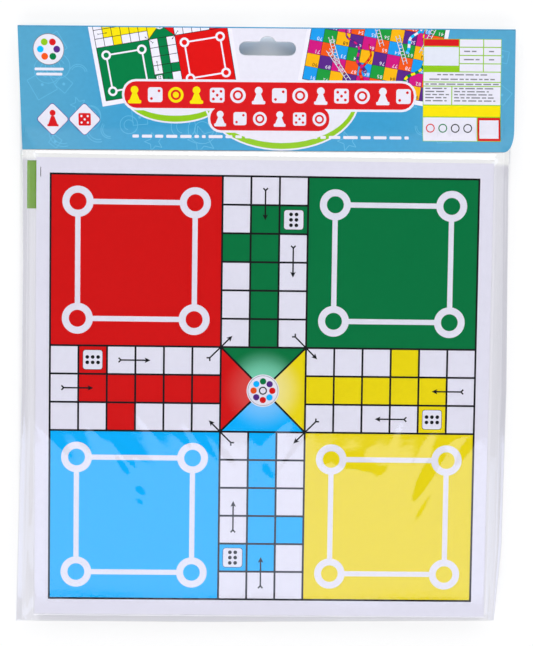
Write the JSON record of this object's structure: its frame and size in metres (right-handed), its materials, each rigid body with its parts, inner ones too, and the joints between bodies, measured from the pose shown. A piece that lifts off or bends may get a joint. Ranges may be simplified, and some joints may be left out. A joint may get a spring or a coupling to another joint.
{
  "type": "snakes and ladders board",
  "caption": "Square two-sided board, ludo on its face and snakes and ladders on its back, in a clear film bag with a folded header card, pawns and a die.",
  "frame": {"origin": "under the centre of the board, on the surface that the pack lies on", "axes": "+X to the right of the ludo face, +Y from the board towards the header card, +Z out of the ludo face"},
  "size_m": [0.2795, 0.3386, 0.0135],
  "materials": {
    "greyboard": "matte",
    "printed_paper": "satin",
    "bag_film": "gloss",
    "header_card": "satin",
    "pouch_film": "gloss",
    "green_paper": "matte",
    "die_plastic": "gloss",
    "red_plastic": "gloss",
    "green_plastic": "gloss",
    "yellow_plastic": "gloss",
    "blue_plastic": "gloss"
  },
  "bodies": {
    "board": {"board_core": "greyboard", "ludo_face": "printed_paper", "ladders_face": "printed_paper"},
    "bag": {"bag_front_film": "bag_film", "bag_back_film": "bag_film"},
    "header": {"header_front_panel": "header_card"},
    "header_flap": {"header_back_panel": "header_card"},
    "pouch": {"pawn_pouch": "pouch_film"},
    "slip": {"green_slip": "green_paper"},
    "red_pawn_1": {"red_pawn_1": "red_plastic"},
    "red_pawn_2": {"red_pawn_2": "red_plastic"},
    "red_pawn_3": {"red_pawn_3": "red_plastic"},
    "red_pawn_4": {"red_pawn_4": "red_plastic"},
    "green_pawn_1": {"green_pawn_1": "green_plastic"},
    "green_pawn_2": {"green_pawn_2": "green_plastic"},
    "green_pawn_3": {"green_pawn_3": "green_plastic"},
    "green_pawn_4": {"green_pawn_4": "green_plastic"},
    "yellow_pawn_1": {"yellow_pawn_1": "yellow_plastic"},
    "yellow_pawn_2": {"yellow_pawn_2": "yellow_plastic"},
    "yellow_pawn_3": {"yellow_pawn_3": "yellow_plastic"},
    "yellow_pawn_4": {"yellow_pawn_4": "yellow_plastic"},
    "blue_pawn_1": {"blue_pawn_1": "blue_plastic"},
    "blue_pawn_2": {"blue_pawn_2": "blue_plastic"},
    "blue_pawn_3": {"blue_pawn_3": "blue_plastic"},
    "blue_pawn_4": {"blue_pawn_4": "blue_plastic"},
    "die": {"die": "die_plastic"}
  },
  "joints": [
    {"name": "bag_pull", "type": "slide", "parent": "board", "child": "bag", "axis": [0, -1, 0], "range_m": [0, 0.33], "deforming": ["bag_front_film", "bag_back_film"]},
    {"name": "header_lift", "type": "slide", "parent": "board", "child": "header", "axis": [0, 1, 0], "range_m": [0, 0.08]},
    {"name": "header_fold", "type": "hinge", "parent": "header", "child": "header_flap", "pos_m": [0, 0.20279, 0.00675], "axis": [1, 0.0079, 0], "range_deg": [0, 180]},
    {"name": "pouch_shift", "type": "slide", "parent": "board", "child": "pouch", "axis": [0, 1, 0], "range_m": [-0.04, 0.04]},
    {"name": "slip_shift", "type": "slide", "parent": "board", "child": "slip", "axis": [1, 0, 0], "range_m": [0, 0.025]},
    {"name": "red_pawn_1_out", "type": "slide", "parent": "pouch", "child": "red_pawn_1", "axis": [0, 1, 0], "range_m": [0, 0.032]},
    {"name": "red_pawn_2_out", "type": "slide", "parent": "pouch", "child": "red_pawn_2", "axis": [0, 1, 0], "range_m": [0, 0.032]},
    {"name": "red_pawn_3_out", "type": "slide", "parent": "pouch", "child": "red_pawn_3", "axis": [0, 1, 0], "range_m": [0, 0.032]},
    {"name": "red_pawn_4_out", "type": "slide", "parent": "pouch", "child": "red_pawn_4", "axis": [0, 1, 0], "range_m": [0, 0.032]},
    {"name": "green_pawn_1_out", "type": "slide", "parent": "pouch", "child": "green_pawn_1", "axis": [0, 1, 0], "range_m": [0, 0.032]},
    {"name": "green_pawn_2_out", "type": "slide", "parent": "pouch", "child": "green_pawn_2", "axis": [0, 1, 0], "range_m": [0, 0.032]},
    {"name": "green_pawn_3_out", "type": "slide", "parent": "pouch", "child": "green_pawn_3", "axis": [0, 1, 0], "range_m": [0, 0.032]},
    {"name": "green_pawn_4_out", "type": "slide", "parent": "pouch", "child": "green_pawn_4", "axis": [0, 1, 0], "range_m": [0, 0.032]},
    {"name": "yellow_pawn_1_out", "type": "slide", "parent": "pouch", "child": "yellow_pawn_1", "axis": [0, 1, 0], "range_m": [0, 0.032]},
    {"name": "yellow_pawn_2_out", "type": "slide", "parent": "pouch", "child": "yellow_pawn_2", "axis": [0, 1, 0], "range_m": [0, 0.032]},
    {"name": "yellow_pawn_3_out", "type": "slide", "parent": "pouch", "child": "yellow_pawn_3", "axis": [0, 1, 0], "range_m": [0, 0.032]},
    {"name": "yellow_pawn_4_out", "type": "slide", "parent": "pouch", "child": "yellow_pawn_4", "axis": [0, 1, 0], "range_m": [0, 0.032]},
    {"name": "blue_pawn_1_out", "type": "slide", "parent": "pouch", "child": "blue_pawn_1", "axis": [0, 1, 0], "range_m": [0, 0.032]},
    {"name": "blue_pawn_2_out", "type": "slide", "parent": "pouch", "child": "blue_pawn_2", "axis": [0, 1, 0], "range_m": [0, 0.032]},
    {"name": "blue_pawn_3_out", "type": "slide", "parent": "pouch", "child": "blue_pawn_3", "axis": [0, 1, 0], "range_m": [0, 0.032]},
    {"name": "blue_pawn_4_out", "type": "slide", "parent": "pouch", "child": "blue_pawn_4", "axis": [0, 1, 0], "range_m": [0, 0.032]},
    {"name": "die_out", "type": "slide", "parent": "pouch", "child": "die", "axis": [0, 1, 0], "range_m": [0, 0.032]}
  ]
}
